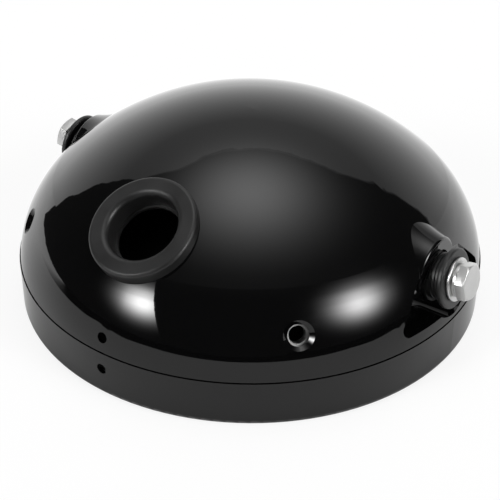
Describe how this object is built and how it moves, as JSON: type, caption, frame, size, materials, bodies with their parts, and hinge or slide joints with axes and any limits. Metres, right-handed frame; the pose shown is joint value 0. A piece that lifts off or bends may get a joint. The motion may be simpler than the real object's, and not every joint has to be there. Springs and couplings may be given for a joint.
{
  "type": "motorcycle_headlight",
  "caption": "Round motorcycle headlight: gloss black steel bucket and trim ring, rubber cable grommet, side mounting bolts in rubber bushes, lying face down.",
  "frame": {"origin": "On the lamp axis, in the plane of the front face of the trim ring, on which the lamp lies.", "axes": "+Z points to the back of the lamp, X runs through the two side bolts, and the grommet is on the -Y side."},
  "size_m": [0.211, 0.198, 0.083],
  "materials": {
    "gloss_paint": "gloss black",
    "grommet_rubber": "satin black",
    "bush_rubber": "satin black",
    "zinc": "bright zinc plate",
    "washer_zinc": "bright zinc plate",
    "lens_glass": "clear",
    "seal_rubber": "matte black",
    "mirror_coat": "bright inside, dark primer outside",
    "clip_steel": "plain",
    "bulb_glass": "clear",
    "tungsten": "plain",
    "cap_brass": "nickel plated",
    "phenolic": "brown",
    "contact_brass": "plain"
  },
  "bodies": {
    "root": {"bucket": "gloss_paint", "trim_ring": "gloss_paint", "hook_tab": "gloss_paint", "cable_grommet": "grommet_rubber", "mount_bush_right": "bush_rubber", "mount_bush_left": "bush_rubber", "mount_bolt_right": "zinc", "mount_bolt_left": "zinc", "mount_nut_right": "zinc", "mount_nut_left": "zinc", "side_nut_right": "zinc", "side_nut_left": "zinc", "mount_sleeve_right": "zinc", "mount_sleeve_left": "zinc", "inner_washer_right": "zinc", "inner_washer_left": "zinc", "screw_plate": "zinc", "flat_washer_right": "washer_zinc", "flat_washer_left": "washer_zinc", "spring_washer_right": "washer_zinc", "spring_washer_left": "washer_zinc", "lens": "lens_glass", "lens_gasket": "seal_rubber", "dust_boot": "seal_rubber", "reflector": "mirror_coat", "unit_clips": "clip_steel", "bulb_holder": "clip_steel", "bulb_glass": "bulb_glass", "bulb_filaments": "tungsten", "bulb_cap": "cap_brass", "contact_plate": "phenolic", "contact_studs": "contact_brass", "terminals": "contact_brass"}
  },
  "joints": []
}
